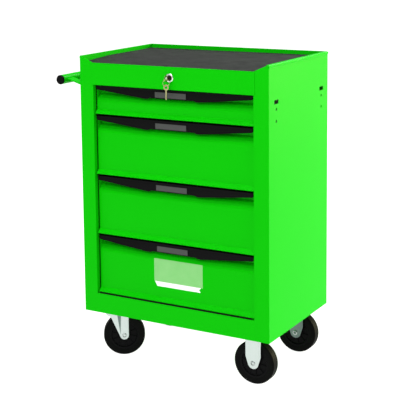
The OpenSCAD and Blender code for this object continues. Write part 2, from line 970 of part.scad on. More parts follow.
// turning cylinder with the keyway, the cam behind it and the pin that works the bar
module lock_cylinder() {
    arm = cam_pin_arm + 6;
    cam_back = 4;
    cam_half = 5;
    key_fit = 0.05;
    keyway_end = barrel_back - 4;
    color(steel)
        placed()
            translate([0, 0, lock_z]) {
                difference() {
                    rod_y(0, core_front, cam_y + 1, 0, core_r);
                    bx([-key_t / 2 - key_fit, core_front - 1, -blade_h / 2 - key_fit],
                        [key_t / 2 + key_fit, keyway_end, blade_h / 2 + key_fit]);
                }
                bx([-cam_back, cam_y, -cam_half], [arm, cam_y + cam_t, cam_half]);
                rod_y(0, cam_y, cam_y + cam_t, 0, core_r);
                rod_y(cam_pin_arm, cam_y + 1, bar_y + bar_t + 1, 0, cam_pin_r);
            }
}

module key() {
    shoulder = core_front - 0.5;
    step = 0.7;
    tip = barrel_back - 5;
    neck = bow_y + 6;
    color(steel)
        placed()
            translate([0, 0, lock_z]) {
                bx([-key_t / 2, shoulder, -blade_h / 2], [key_t / 2, tip, blade_h / 2]);
                bx([-key_t / 2, neck, -blade_h / 2 - step], [key_t / 2, shoulder, blade_h / 2 + step]);
                difference() {
                    rod_x(-key_t / 2, key_t / 2, bow_y, 0, bow_r);
                    rod_x(-key_t, key_t, bow_y, 0, bow_hole_r);
                }
            }
}

// bar behind the top rail and the right post; its hooks stay clear of the drawers
module lock_bar() {
    half = bar_arm_h / 2;
    left = -24;
    slot_half = 5;
    slot_past = 5;
    hook_x = open_hw + 2.5;
    hook_low = 24;
    hook_h = 12;
    leg_low = open_bot + 30;
    right = bar_leg_x + bar_leg_w;
    color(zinc)
        placed()
            difference() {
                union() {
                    bx([left, bar_y, lock_z - half], [right, bar_y + bar_t, lock_z + half]);
                    bx([bar_leg_x, bar_y, leg_low], [right, bar_y + bar_t, lock_z + half]);
                    for (n = [0:3])
                        bx([hook_x, bar_y, slide_z(n) + hook_low],
                            [bar_leg_x + 1, bar_y + bar_t, slide_z(n) + hook_low + hook_h]);
                }
                bx([-slot_past, bar_y - 1, lock_z - slot_half],
                    [cam_pin_arm + slot_past, bar_y + bar_t + 1, lock_z + slot_half]);
            }
}

module key_ring() {
    color(steel)
        placed()
            translate([0, bow_y, ring_top - ring_r])
                rotate([0, 0, 45])
                    rotate([90, 0, 0])
                        rotate_extrude($fn = 72)
                            translate([ring_r, 0, 0])
                                circle(r = ring_wire, $fn = 20);
}

module spare_key() {
    blade_half = blade_h / 2 - 0.6;
    color(steel)
        placed() {
            difference() {
                rod_y(0, bow_y - key_t / 2, bow_y + key_t / 2, spare_z, spare_bow_r);
                rod_y(0, bow_y - key_t, bow_y + key_t, spare_z, bow_hole_r);
            }
            bx([-blade_half, bow_y - key_t / 2, spare_tip],
                [blade_half, bow_y + key_t / 2, spare_z - spare_bow_r + 2]);
        }
}

// ---------- assembly ----------
side_panel_left();
side_panel_right();
back_panel();
bottom_panel();
top_tray();
top_rail();
bottom_rail();
top_mat();
slide_uprights();
slide_outer_1();
slide_outer_2();
slide_outer_3();
slide_outer_4();
lock_housing();
handle_tube();
handle_brackets();
handle_end_caps();
bracket_bolts();
swivel_plates();
rigid_fork_front();
rigid_fork_back();
rigid_axles();
caster_bolts();
drawer_box_1();
drawer_box_2();
drawer_box_3();
drawer_box_4();
drawer_front_1();
drawer_front_2();
drawer_front_3();
drawer_front_4();
drawer_handle_1();
drawer_handle_2();
drawer_handle_3();
drawer_handle_4();
slide_inner_1();
slide_inner_2();
slide_inner_3();
slide_inner_4();
slide_mid_1();
slide_mid_2();
slide_mid_3();
slide_mid_4();
swivel_fork_front();
swivel_fork_back();
swivel_axle_front();
swivel_axle_back();
tyre_front_left();
tyre_back_left();
tyre_front_right();
tyre_back_right();
hub_front_left();
hub_back_left();
hub_front_right();
hub_back_right();
lock_cylinder();
key();
lock_bar();
key_ring();
spare_key();
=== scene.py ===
import json
import math

import bmesh
import bpy
from mathutils import Matrix, Vector

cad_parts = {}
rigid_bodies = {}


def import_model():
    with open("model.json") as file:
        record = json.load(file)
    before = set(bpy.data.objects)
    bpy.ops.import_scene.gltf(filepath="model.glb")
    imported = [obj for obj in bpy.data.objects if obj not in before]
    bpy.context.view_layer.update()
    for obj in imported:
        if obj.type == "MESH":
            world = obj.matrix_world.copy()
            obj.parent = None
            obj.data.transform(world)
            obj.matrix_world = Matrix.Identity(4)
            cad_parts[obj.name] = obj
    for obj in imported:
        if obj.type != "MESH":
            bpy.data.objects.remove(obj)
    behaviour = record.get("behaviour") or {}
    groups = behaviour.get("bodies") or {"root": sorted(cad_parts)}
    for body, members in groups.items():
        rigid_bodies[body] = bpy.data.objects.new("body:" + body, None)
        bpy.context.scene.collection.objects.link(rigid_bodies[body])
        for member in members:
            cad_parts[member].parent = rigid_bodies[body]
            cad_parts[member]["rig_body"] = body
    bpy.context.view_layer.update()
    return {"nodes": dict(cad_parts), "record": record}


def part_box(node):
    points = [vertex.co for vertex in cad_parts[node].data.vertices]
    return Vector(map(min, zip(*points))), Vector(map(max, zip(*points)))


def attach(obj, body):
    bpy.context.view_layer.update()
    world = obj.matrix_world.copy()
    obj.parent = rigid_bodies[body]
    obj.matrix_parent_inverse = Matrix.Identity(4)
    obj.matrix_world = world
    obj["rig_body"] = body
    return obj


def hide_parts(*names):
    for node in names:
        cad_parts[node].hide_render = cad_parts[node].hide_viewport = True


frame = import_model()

MM = 0.001


# ---------- shading ----------
class Val:
    """A shader value that ordinary arithmetic works on."""

    def __init__(self, owner, socket):
        self.owner = owner
        self.socket = socket

    def math(self, kind, a, b=None, clamp=False):
        values = {0: a} if b is None else {0: a, 1: b}
        return self.owner.node("ShaderNodeMath", {"operation": kind, "use_clamp": clamp}, values)

    def __add__(self, other):
        return self.math("ADD", self, other)

    def __sub__(self, other):
        return self.math("SUBTRACT", self, other)

    def __mul__(self, other):
        return self.math("MULTIPLY", self, other)

    def __radd__(self, other):
        return self.math("ADD", other, self)

    def __rsub__(self, other):
        return self.math("SUBTRACT", other, self)

    def __rmul__(self, other):
        return self.math("MULTIPLY", other, self)

    def fract(self):
        return self.math("FRACT", self)

    def absolute(self):
        return self.math("ABSOLUTE", self)

    def clamp(self):
        return self.math("ADD", self, 0.0, True)


class Look:
    """A procedural material: one Principled shader and the nodes that feed it."""

    def __init__(self, name, **constants):
        self.mat = bpy.data.materials.new(name)
        self.mat.use_nodes = True
        self.tree = self.mat.node_tree
        self.tree.nodes.clear()
        self.shader = self.tree.nodes.new("ShaderNodeBsdfPrincipled")
        out = self.tree.nodes.new("ShaderNodeOutputMaterial")
        self.tree.links.new(self.shader.outputs[0], out.inputs[0])
        for key, value in constants.items():
            self.shader.inputs[key.replace("_", " ")].default_value = value

    def node(self, kind, settings=None, inputs=None, out=0):
        made = self.tree.nodes.new(kind)
        for key, value in (settings or {}).items():
            setattr(made, key, value)
        for key, value in (inputs or {}).items():
            self.feed(made.inputs[key], value)
        return Val(self, made.outputs[out])

    def feed(self, socket, value):
        if isinstance(value, Val):
            self.tree.links.new(value.socket, socket)
        else:
            socket.default_value = value

    def set(self, name, value):
        self.feed(self.shader.inputs[name], value)

    def place(self, stretch=(1, 1, 1)):
        here = self.node("ShaderNodeTexCoord", out=3)
        return self.node("ShaderNodeMapping", None, {0: here, 3: stretch})

    def axis(self, which):
        return self.node("ShaderNodeSeparateXYZ", None, {0: self.place()}, which)

    def noise(self, scale, detail=2.0, rough=0.5, stretch=(1, 1, 1)):
        return self.node("ShaderNodeTexNoise", None, {
            "Vector": self.place(stretch), "Scale": scale, "Detail": detail, "Roughness": rough})

    def mix(self, amount, a, b):
        return self.node("ShaderNodeMix", {"data_type": "RGBA"}, {0: amount, 6: a, 7: b}, 2)

    def bump(self, height, strength, depth):
        self.set("Normal", self.node("ShaderNodeBump", None, {
            "Strength": strength, "Distance": depth, "Height": height}))


def rgb(r, g, b):
    return (r, g, b, 1.0)


def painted():
    """Glossy green powder coat with a fine orange peel."""
    look = Look("green_powder_coat", Specular_IOR_Level=0.035)
    peel = look.noise(scale=420.0, detail=3.0)
    broad = look.noise(scale=5.0)
    speck = look.noise(scale=1500.0, detail=1.0)
    shade = (broad - 0.5) * 0.5 + (speck - 0.5) * 0.35 + 0.5
    look.set("Base Color", look.mix(shade.clamp(), rgb(0.0014, 0.405, 0.0005), rgb(0.0028, 0.455, 0.0009)))
    look.set("Roughness", 0.34 + (peel - 0.5) * 0.14 + (broad - 0.5) * 0.06)
    look.bump(peel, strength=0.10, depth=0.0004)
    return look.mat


def rubber_mat():
    """Dark worktop rubber with fine ribs and a mottled, slightly dusty surface."""
    look = Look("worktop_rubber", Specular_IOR_Level=0.14)
    grain = look.noise(scale=700.0, detail=4.0, rough=0.6)
    dust = look.noise(scale=26.0, detail=5.0, rough=0.65, stretch=(1.0, 1.8, 1.0))
    ribs_per_metre = 330.0
    ridge = (((look.axis(0) * ribs_per_metre).fract() - 0.5).absolute() * 2.0).clamp()
    tone = ((dust - 0.5) * 1.8 + (grain - 0.5) * 0.9 + 0.42).clamp()
    look.set("Base Color", look.mix(tone, rgb(0.003, 0.0045, 0.0035), rgb(0.028, 0.032, 0.029)))
    look.set("Roughness", 0.66 + (grain - 0.5) * 0.2)
    look.bump(ridge * 0.6 + grain * 0.8, strength=0.35, depth=0.0006)
    return look.mat


def moulded():
    """Satin black moulded plastic with a spark-eroded grain."""
    look = Look("black_moulded_plastic", Specular_IOR_Level=0.04)
    grain = look.noise(scale=1300.0, detail=3.0, rough=0.6)
    flow = look.noise(scale=9.0, stretch=(0.3, 1.0, 2.0))
    look.set("Base Color", look.mix(flow, rgb(0.0022, 0.0022, 0.0024), rgb(0.0045, 0.0045, 0.0048)))
    look.set("Roughness", 0.42 + (grain - 0.5) * 0.25)
    look.bump(grain, strength=0.18, depth=0.0003)
    return look.mat


def label_card():
    """Grey label insert behind a matt film."""
    look = Look("grey_label", Specular_IOR_Level=0.25)
    fibre = look.noise(scale=600.0, detail=3.0, rough=0.6, stretch=(1.0, 1.0, 2.5))
    look.set("Base Color", look.mix(fibre, rgb(0.036, 0.040, 0.037), rgb(0.056, 0.060, 0.056)))
    look.set("Roughness", 0.45 + (fibre - 0.5) * 0.2)
    look.bump(fibre, strength=0.1, depth=0.0002)
    return look.mat


def tyre():
    """Hard black rubber, slightly dusty on the tread."""
    look = Look("wheel_rubber", Specular_IOR_Level=0.045)
    grain = look.noise(scale=900.0, detail=4.0, rough=0.65)
    scuff = look.noise(scale=60.0, detail=5.0, rough=0.7)
    tone = ((scuff - 0.45) * 1.4 + (grain - 0.5) * 0.6).clamp()
    look.set("Base Color", look.mix(tone, rgb(0.0016, 0.0018, 0.0016), rgb(0.005, 0.0053, 0.0046)))
    look.set("Roughness", 0.52 + (scuff - 0.5) * 0.25)
    look.bump(grain * 0.5 + scuff, strength=0.15, depth=0.0004)
    return look.mat


def metal(name, dark, light, rough, spangle, scale, grain=(1, 1, 1)):
    """Plated metal: a base tint that drifts, with fine drawn lines or spangle."""
    look = Look(name, Metallic=1.0)
    cell = look.noise(scale, detail=3.0, rough=0.55, stretch=grain)
    drift = look.noise(scale=11.0, detail=3.0)
    look.set("Base Color", look.mix((cell * 0.6 + drift * 0.4).clamp(), rgb(*dark), rgb(*light)))
    look.set("Roughness", rough + (cell - 0.5) * spangle + (drift - 0.5) * 0.06)
    look.bump(cell, strength=0.06, depth=0.0003)
    return look.mat


def film(name, a, b, rough):
    """Printed sticker film with a faint halftone."""
    look = Look(name, Coat_Weight=0.25, Coat_Roughness=0.2)
    tone = look.noise(scale=30.0)
    dots = look.noise(scale=1400.0, detail=1.0)
    look.set("Base Color", look.mix((tone * 0.7 + dots * 0.3).clamp(), rgb(*a), rgb(*b)))
    look.set("Roughness", rough + (dots - 0.5) * 0.15)
    return look.mat


def plain_floor():
    """Bright seamless floor that takes no shine."""
    look = Look("pale_floor", Roughness=0.9, Specular_IOR_Level=0.0, Emission_Strength=1.0)
    soft = look.noise(scale=1.5)
    look.set("Base Color", look.mix(soft, rgb(0.30, 0.30, 0.30), rgb(0.34, 0.34, 0.34)))
    look.set("Emission Color", rgb(1, 1, 1))
    return look.mat


PAINT = painted()
MAT_RUBBER = rubber_mat()
BLACK = moulded()
CARD = label_card()
TYRE = tyre()
ZINC = metal("bright_zinc", (0.46, 0.51, 0.50), (0.54, 0.60, 0.58), rough=0.30, spangle=0.05, scale=120.0)
# Darker copy of the bright zinc: painted shade and painted dark reflection, for the back rigid fork and the
# bands down the swivel legs.
PAINTED_SHADE_ZINC = metal("shaded_zinc", (0.10, 0.14, 0.13), (0.17, 0.22, 0.20), rough=0.34, spangle=0.05,
                  scale=120.0)
RAIL = metal("rolled_slide_steel", (0.52, 0.54, 0.55), (0.72, 0.74, 0.74), rough=0.24, spangle=0.10,
             scale=500.0, grain=(1, 0.06, 1))
BOLT = metal("bolt_zinc", (0.30, 0.33, 0.33), (0.50, 0.53, 0.52), rough=0.30, spangle=0.12, scale=420.0)
CHROME = metal("lock_chrome", (0.70, 0.71, 0.73), (0.84, 0.85, 0.86), rough=0.10, spangle=0.05, scale=300.0)
BRASSY = metal("key_nickel", (0.30, 0.30, 0.11), (0.52, 0.51, 0.27), rough=0.22, spangle=0.12, scale=700.0)
CORE = metal("lock_core_steel", (0.02, 0.022, 0.024), (0.05, 0.052, 0.055), rough=0.30, spangle=0.10,
             scale=500.0)
FILM = film("pale_green_film", (0.12, 0.46, 0.09), (0.21, 0.53, 0.17), rough=0.36)
WHITE_FILM = film("white_film", (0.80, 0.82, 0.80), (0.90, 0.91, 0.90), rough=0.30)


# ---------- mesh tools ----------
def piece(name, bm, mat, body, replaces=(), smooth=38):
    """Turns a bmesh into a finished piece that rides on a body."""
    bmesh.ops.recalc_face_normals(bm, faces=bm.faces[:])
    me = bpy.data.meshes.new(name)
    bm.to_mesh(me)
    bm.free()
    me.materials.append(mat)
    me.shade_smooth()
    me.set_sharp_from_angle(angle=math.radians(smooth))
    obj = bpy.data.objects.new(name, me)
    bpy.context.scene.collection.objects.link(obj)
    keep = obj.modifiers.new("flat_faces", "WEIGHTED_NORMAL")
    keep.keep_sharp = True
    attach(obj, body)
    if replaces:
        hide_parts(*replaces)
    return obj


def bevel(bm, edges, width, segments=2):
    if edges:
        bmesh.ops.bevel(bm, geom=edges, offset=width, offset_type="OFFSET", segments=segments,
                        profile=0.5, affect="EDGES", clamp_overlap=True, material=-1)


def sharp_edges(bm, degrees=30.0):
    limit = math.radians(degrees)
    return [e for e in bm.edges if len(e.link_faces) == 2 and e.calc_face_angle(0.0) > limit]


def from_node(node):
    """A clean copy of a CAD node's mesh."""
    bm = bmesh.new()
    bm.from_mesh(frame["nodes"][node].data)
    bmesh.ops.remove_doubles(bm, verts=bm.verts[:], dist=1e-6)
    bmesh.ops.dissolve_limit(bm, angle_limit=math.radians(0.6), verts=bm.verts[:], edges=bm.edges[:])
    return bm


def softened(node, mat, width=0.4, wide=None, extra=None):
    """Stands for a CAD node with every sharp edge eased; wide picks edges that get a larger round."""
    bm = from_node(node)
    if wide:
        test, size = wide
        bevel(bm, [e for e in sharp_edges(bm) if test(e)], size * MM, 3)
    bevel(bm, sharp_edges(bm), width * MM, 2)
    if extra:
        extra(bm)
    body = frame["nodes"][node]["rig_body"]
    return piece(node + "_skin", bm, mat, body, (node,))


def round_path(points, radius, steps=5, closed=False):
    """Rounds the corners of a flat path; radius is one size or one for each point."""
    count = len(points)
    out = []
    for i, point in enumerate(points):
        r = radius[i] if isinstance(radius, (list, tuple)) else radius
        p = Vector(point)
        if r <= 0 or (not closed and i in (0, count - 1)):
            out.append(p)
            continue
        a = Vector(points[i - 1]) - p
        b = Vector(points[(i + 1) % count]) - p
        la, lb = a.length, b.length
        a.normalize()
        b.normalize()
        turn = a.angle(b)
        if turn > math.pi - 0.01:
            out.append(p)
            continue
        cut = min(r / math.tan(turn / 2), la * 0.48, lb * 0.48)
        real = cut * math.tan(turn / 2)
        centre = p + (a + b).normalized() * (real / math.sin(turn / 2))
        start = (p + a * cut - centre).normalized()
        end = (p + b * cut - centre).normalized()
        for k in range(steps + 1):
            out.append(centre + start.slerp(end, k / steps) * real)
    return out


def strip(points, thick):
    """Closed outline of a bent sheet of even thickness around a centre path."""
    left, right = [], []
    last = len(points) - 1
    for i, p in enumerate(points):
        before = (p - points[i - 1]).normalized() if i else None
        after = (points[i + 1] - p).normalized() if i < last else None
        if before is None:
            before = after
        if after is None:
            after = before
        along = (before + after).normalized()
        side = Vector((-along.y, along.x))
        reach = thick / 2 / max(0.4, side.dot(Vector((-before.y, before.x))))
        left.append(p + side * reach)
        right.append(p - side * reach)
    return left + right[::-1]


def extrude(bm, face, place):
    """Pushes a face out to a new end, where place gives each new corner from the old one."""
    made = bmesh.ops.extrude_face_region(bm, geom=[face])["geom"]
    for corner in made:
        if isinstance(corner, bmesh.types.BMVert):
            corner.co = place(corner.co)
    return next(end for end in made if isinstance(end, bmesh.types.BMFace))


def prism(outline, axis, a, b, edge=0.3, into=None):
    """A flat outline pushed along an axis from a to b; edge eases both end rims, or each, in millimetres."""
    bm = bmesh.new()
    put = {"X": lambda u, v, w: (w, u, v),
           "Y": lambda u, v, w: (u, w, v),
           "Z": lambda u, v, w: (u, v, w)}[axis]
    start = bm.faces.new([bm.verts.new(put(p[0], p[1], a)) for p in outline])
    reach = Vector(put(0, 0, b - a))
    end = extrude(bm, start, lambda corner: corner + reach)
    bmesh.ops.recalc_face_normals(bm, faces=bm.faces[:])
    eases = edge if isinstance(edge, tuple) else (edge, edge)
    rims = [list(start.edges), list(end.edges)]
    if eases[0] == eases[1]:
        if eases[0]:
            bevel(bm, rims[0] + rims[1], eases[0] * MM, 2)
    else:
        for rim, ease in zip(rims, eases):
            if ease:
                bevel(bm, rim, ease * MM, 4 if ease > 0.8 else 2)
    return merge(into, bm)


def merge(target, extra):
    """Adds one bmesh to another, where there is another, and frees it."""
    if target is None:
        return extra
    me = bpy.data.meshes.new("tmp")
    extra.to_mesh(me)
    extra.free()
    target.from_mesh(me)
    bpy.data.meshes.remove(me)
    return target


def lathe(profile, axis, centre, steps=64, closed=False):
    """Spins a profile of (radius, distance along the axis) round X, Y, Z or the axis of a turn matrix."""
    bm = bmesh.new()
    verts = [bm.verts.new((r, 0.0, w)) for r, w in profile]
    edges = [bm.edges.new((verts[i], verts[i + 1])) for i in range(len(verts) - 1)]
    if closed:
        edges.append(bm.edges.new((verts[-1], verts[0])))
    bmesh.ops.spin(bm, geom=verts + edges, cent=(0, 0, 0), axis=(0, 0, 1), angle=2 * math.pi,
                   steps=steps, use_merge=True, use_duplicate=False)
    bmesh.ops.remove_doubles(bm, verts=bm.verts[:], dist=1e-7)
    bmesh.ops.recalc_face_normals(bm, faces=bm.faces[:])
    turn = {"Z": Matrix.Identity(4), "Y": Matrix.Rotation(-math.pi / 2, 4, "X"),
            "X": Matrix.Rotation(math.pi / 2, 4, "Y")}[axis] if isinstance(axis, str) else axis
    bmesh.ops.transform(bm, matrix=Matrix.Translation(centre) @ turn, verts=bm.verts[:])
    return bm


def block(lo, hi, edge=0.3, into=None):
    """A small box with eased edges."""
    bm = bmesh.new()
    bmesh.ops.create_cube(bm, size=1.0)
    lo, hi = Vector(lo), Vector(hi)
    size = hi - lo
    bmesh.ops.transform(bm, verts=bm.verts[:], matrix=Matrix.Translation((lo + hi) / 2)
                        @ Matrix.Diagonal((*size, 1.0)))
    bevel(bm, bm.edges[:], edge * MM, 2)
    return merge(into, bm)


# ---------- main sizes, read from the frame ----------
LEFT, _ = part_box("side_panel_left")
_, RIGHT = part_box("side_panel_right")
CX = (LEFT.x + RIGHT.x) / 2
FRONT = LEFT.y
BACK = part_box("back_panel")[1].y
JOINTS = {entry["name"]: entry for entry in frame["record"]["behaviour"]["joints"]}


def xx(mm):
    """Distance to the right of the cabinet's middle."""
    return CX + mm * MM


def yy(mm):
    """Distance behind the cabinet's front."""
    return FRONT + mm * MM


def zz(mm):
    """Height above the floor."""
    return mm * MM


def spot(joint):
    """A joint's place and axis."""
    entry = JOINTS[joint]
    return Vector(entry.get("pos_m", (0, 0, 0))), Vector(entry["axis"]).normalized()


def along(axis):
    """Rotation that carries Z onto an axis."""
    return Vector((0, 0, 1)).rotation_difference(axis).to_matrix().to_4x4()


def mm_path(points, radius, steps=5, closed=False, x0=0.0, y0=0.0):
    """round_path for sizes in millimetres, shifted by x0 and y0 metres."""
    path = round_path(points, radius, steps, closed)
    return [Vector((x0 + p[0] * MM, y0 + p[1] * MM)) for p in path]


def arc(cx, cy, r, a0, a1, count):
    """Points on a circle from angle a0 to a1, in degrees."""
    angles = [math.radians(a0 + (a1 - a0) * i / count) for i in range(count + 1)]
    return [(cx + r * math.cos(a), cy + r * math.sin(a)) for a in angles]


def metres(points):
    return [(r * MM, w * MM) for r, w in points]


def mirrored(half):
    """A lathe profile that is the same on both sides of its middle."""
    return [(r, -w) for r, w in half] + half[::-1]


def vertical(edge):
    a, b = edge.verts[0].co, edge.verts[1].co
    return abs(a.x - b.x) < 1e-5 and abs(a.y - b.y) < 1e-5


def at(value, target):
    return abs(value - target) < 2e-5


# ---------- cabinet shell ----------
CORNER_ROUND = 1.8
LIP_ROUND = 0.55
SHADOW_STRIP_IN = 8           # black strip on the bottom rail, a painted shadow of the gap below the lowest drawer: inset at both ends, front, back and height
SHADOW_STRIP_FRONT = 0.7
SHADOW_STRIP_BACK = 12.5
SHADOW_STRIP_H = 3.0
HEM_T = 0.5
HEM_IN = 5.5            # how far the tray's outer hem moves in under the rolled rim
ROLL_R = 4.65
ROLL_T = 1.2
ROLL_OUT = 1.5


def corner_edge(x):
    return lambda e: vertical(e) and at(e.verts[0].co.x, x) and at(e.verts[0].co.y, FRONT)


def shell():
    softened("side_panel_left", PAINT, 0.15, (corner_edge(LEFT.x), CORNER_ROUND))
    softened("side_panel_right", PAINT, 0.15, (corner_edge(RIGHT.x), CORNER_ROUND))
    softened("bottom_panel", PAINT, 0.3)
    softened("bottom_rail", PAINT, 0.35)
    rail_shadow_strip()
    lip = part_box("top_rail")[1].z

    def lip_edge(e):
        return all(at(v.co.z, lip) for v in e.verts) and at(e.verts[0].co.y, e.verts[1].co.y)

    softened("top_rail", PAINT, 0.3, (lip_edge, LIP_ROUND))
    tray()
    softened("slide_uprights", RAIL, 0.3)


def rail_shadow_strip():
    """Black strip on the bottom rail that the lowest drawer closes over, standing in as painted shadow for
    the dark gap there.
    """
    lo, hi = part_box("bottom_rail")
    bm = block((lo.x + SHADOW_STRIP_IN * MM, yy(SHADOW_STRIP_FRONT), hi.z),
               (hi.x - SHADOW_STRIP_IN * MM, yy(SHADOW_STRIP_BACK), hi.z + SHADOW_STRIP_H * MM), 0.3)
    piece("rail_shadow_strip", bm, BLACK, "cabinet")


def tray():
    """Worktop tray whose flat outer hem gives way to a rolled rim round three sides."""
    bm = from_node("top_tray")
    reach_x = RIGHT.x - HEM_T * MM
    for v in bm.verts:
        if v.co.x > reach_x:
            v.co.x -= HEM_IN * MM
        elif v.co.x < 2 * CX - reach_x:
            v.co.x += HEM_IN * MM
        if v.co.y > BACK - HEM_T * MM:
            v.co.y -= HEM_IN * MM
    bevel(bm, sharp_edges(bm), 0.3 * MM, 2)
    merge(bm, rolled_rim())
    piece("top_tray_skin", bm, PAINT, "cabinet", ("top_tray",))


def rolled_rim():
    """A bent strip swept back along the right side, across the back and forward along the left side."""
    lo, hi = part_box("top_tray")
    start = lo.y + 0.2 * MM
    drop = ROLL_R + ROLL_T / 2
    roll = [Vector((u + ROLL_OUT - drop, z - drop)) for u, z in arc(0, 0, ROLL_R, 128, -62, 16)]
    outline = metres(strip(roll, ROLL_T))
    bm = bmesh.new()
    right_front = bm.faces.new([bm.verts.new((RIGHT.x + u, start, hi.z + z)) for u, z in outline])
    right_back = extrude(bm, right_front, lambda corner: (corner.x, BACK + corner.x - RIGHT.x, corner.z))
    left_back = extrude(bm, right_back, lambda corner: (2 * CX - corner.x, corner.y, corner.z))
    extrude(bm, left_back, lambda corner: (corner.x, start, corner.z))
    for inside in (right_back, left_back):
        bm.faces.remove(inside)
    bmesh.ops.recalc_face_normals(bm, faces=bm.faces[:])
    return bm


RIVET = [(0, 1.2), (2.0, 1.0), (3.6, 0.45), (4.2, 0.0), (4.2, -0.2)]
RIVET_IN = 11
RIVET_LOW = 30
RIVET_HIGH = 45
RIVETS = 7


def back_wall():
    """Back sheet with rivets down both edges."""
    lo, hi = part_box("back_panel")
    pitch = (hi.z - lo.z - (RIVET_LOW + RIVET_HIGH) * MM) / (RIVETS - 1)

    def rivets(bm):
        for x in (lo.x + RIVET_IN * MM, hi.x - RIVET_IN * MM):
            for i in range(RIVETS):
                merge(bm, lathe(metres(RIVET), "Y", (x, hi.y, lo.z + RIVET_LOW * MM + i * pitch), 20))

    softened("back_panel", PAINT, 0.35, extra=rivets)


def worktop():
    """Loose rubber mat with a softened edge."""
    softened("top_mat", MAT_RUBBER, 0.7)


# ---------- drawers ----------
DRAWERS = range(1, 5)
FACE = 15.0             # the drawer's flat face, behind the cabinet's front
POCKET_BACK = 35.0
POCKET_H = 50
PULL_RISE = 3           # how far the pull stands above the sheet
HALF_SHEET = 0.6
FLARE_H = 12.2
END_T = 1.2             # sheet that closes the ends of the face and of the pocket
POCKET = [(0, 0), (1.6, 6), (5.2, 12.5), (11, 18.7), (20, 24)]


def section(points, radii, steps, closed=False):
    """A rounded outline in depth behind the front and height above the floor."""
    return mm_path(points, radii, steps, closed, FRONT, 0.0)


def front_sheet(n):
    """Formed front: hemmed flared foot, flat face and a rolled finger pocket."""
    lo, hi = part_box(f"drawer_front_{n}")
    foot = lo.z / MM
    top = hi.z / MM + PULL_RISE
    rim = top - 3.2
    lip = (lo.y - FRONT) / MM
    base = top - POCKET_H
    skin = FACE + HALF_SHEET
    points = [(lip + HALF_SHEET, foot + 0.6), (lip + HALF_SHEET, foot + 2.2), (skin, foot + FLARE_H)]
    points += [(skin + depth, base + up) for depth, up in POCKET]
    points += [(POCKET_BACK + HALF_SHEET, rim)]
    sheet = section(points, [0, 1.4, 3.0, 8.0, 9.0, 11.0, 11.0, 3.0, 0], 6)
    bm = prism(strip(sheet, 1.15 * MM), "X", lo.x, hi.x, 0.35)
    hem = section([(lip + 1.9, foot + 4.0), (lip + 1.9, foot + 0.65), (lip + HALF_SHEET, foot + 0.65)],
                  [0, 0.6, 0], 4)
    prism(strip(hem, 1.1 * MM), "X", lo.x + 0.4 * MM, hi.x - 0.4 * MM, 0.2, bm)
    turned = [(FACE + 0.4, foot + 13), (FACE + 4.5, foot + 15), (FACE + 4.5, base - 3),
              (FACE + 0.4, base - 1)]
    turned = section(turned, [0, 2, 2, 0], 3, True)
    cheek = [(FACE, rim), (FACE, base - 0.8)] + [(skin + depth, base - 0.4 + up) for depth, up in POCKET]
    cheek = section(cheek + [(POCKET_BACK + HALF_SHEET, rim)], [0.5, 1.5, 2, 6, 8, 10, 3, 0], 4, True)
    for outline, ease in ((turned, 0.2), (cheek, 0.25)):
        prism(outline, "X", lo.x, lo.x + END_T * MM, ease, bm)
        prism(outline, "X", hi.x - END_T * MM, hi.x, ease, bm)
    box_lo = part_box(f"drawer_box_{n}")[0]
    for z, start in ((foot + 14.6, FACE + 0.9), (top - 15.4, POCKET_BACK + 0.9)):
        block((box_lo.x, yy(start), zz(z - HALF_SHEET)),
              (2 * CX - box_lo.x, box_lo.y, zz(z + HALF_SHEET)), 0.2, bm)
    piece(f"drawer_front_{n}_skin", bm, PAINT, f"drawer_{n}", (f"drawer_front_{n}",))


SKIRT_DROP = 30         # the pull's skirt at its deepest, beside the label
LABEL_X = -4            # the label's middle, from the cabinet's middle
LABEL_W = 51
LABEL_TOP = -8
LABEL_FOOT = -24.3
BORDER_W = 53.4
BORDER_TOP = -6.4
BORDER_FOOT = -26.0


def pull(n):
    """Moulded full-width pull: scalloped skirt, top ledge, ribs, and a raised frame for the label."""
    lo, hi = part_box(f"drawer_handle_{n}")
    top = hi.z / MM
    wide = (hi.x - lo.x) / MM / 2
    front = (lo.y - FRONT) / MM
    back = (hi.y - FRONT) / MM
    half = [(wide, 0), (wide, -10.5), (wide - 4, -13), (88, -SKIRT_DROP), (79, -SKIRT_DROP), (72, -26.5)]
    radii = [1.2, 2, 3, 5, 4, 4]
    skirt = mm_path(half + [(-x, z) for x, z in half[::-1]], radii + radii[::-1], 5, True, CX, zz(top))
    bm = prism(skirt, "Y", yy(front), yy(front + 3), (1.0, 0.4))
    side = wide - 0.6
    ledge = mm_path([(-side, front + 1.2), (side, front + 1.2), (side, back), (-side, back)],
                    [0, 0, 1.5, 1.5], 4, True, CX, FRONT)
    prism(ledge, "Z", zz(top - 2.5), zz(top - 0.05), 0.3, bm)
    end = wide - 1.6
    for x in (-end, -165, -110, -55, 0, 55, 110, 165, end):
        deep = 10.4 if abs(x) == end else 9
        block((xx(x - 1.2), yy(front + 1.5), zz(top - deep)),
              (xx(x + 1.2), yy(back - 0.1), zz(top - 1)), 0.3, bm)
    for x0, x1 in ((6 - wide, -60), (60, wide - 6)):
        line = mm_path([(x0, -6.5), (x0, -8.2), (x1, -8.2), (x1, -6.5)], 0.8, 3, True, CX, zz(top))
        prism(line, "Y", yy(front - 0.35), yy(front + 1), 0.25, bm)
    label_border(bm, top, front)
    piece(f"pull_{n}", bm, BLACK, f"drawer_{n}", (f"drawer_handle_{n}",))
    card = [(-LABEL_W, LABEL_FOOT), (LABEL_W, LABEL_FOOT), (LABEL_W, LABEL_TOP), (-LABEL_W, LABEL_TOP)]
    card = mm_path(card, 0.8, 3, True, xx(LABEL_X), zz(top))
    piece(f"label_{n}", prism(card, "Y", yy(front - 0.35), yy(front + 0.6), 0.15), CARD, f"drawer_{n}")


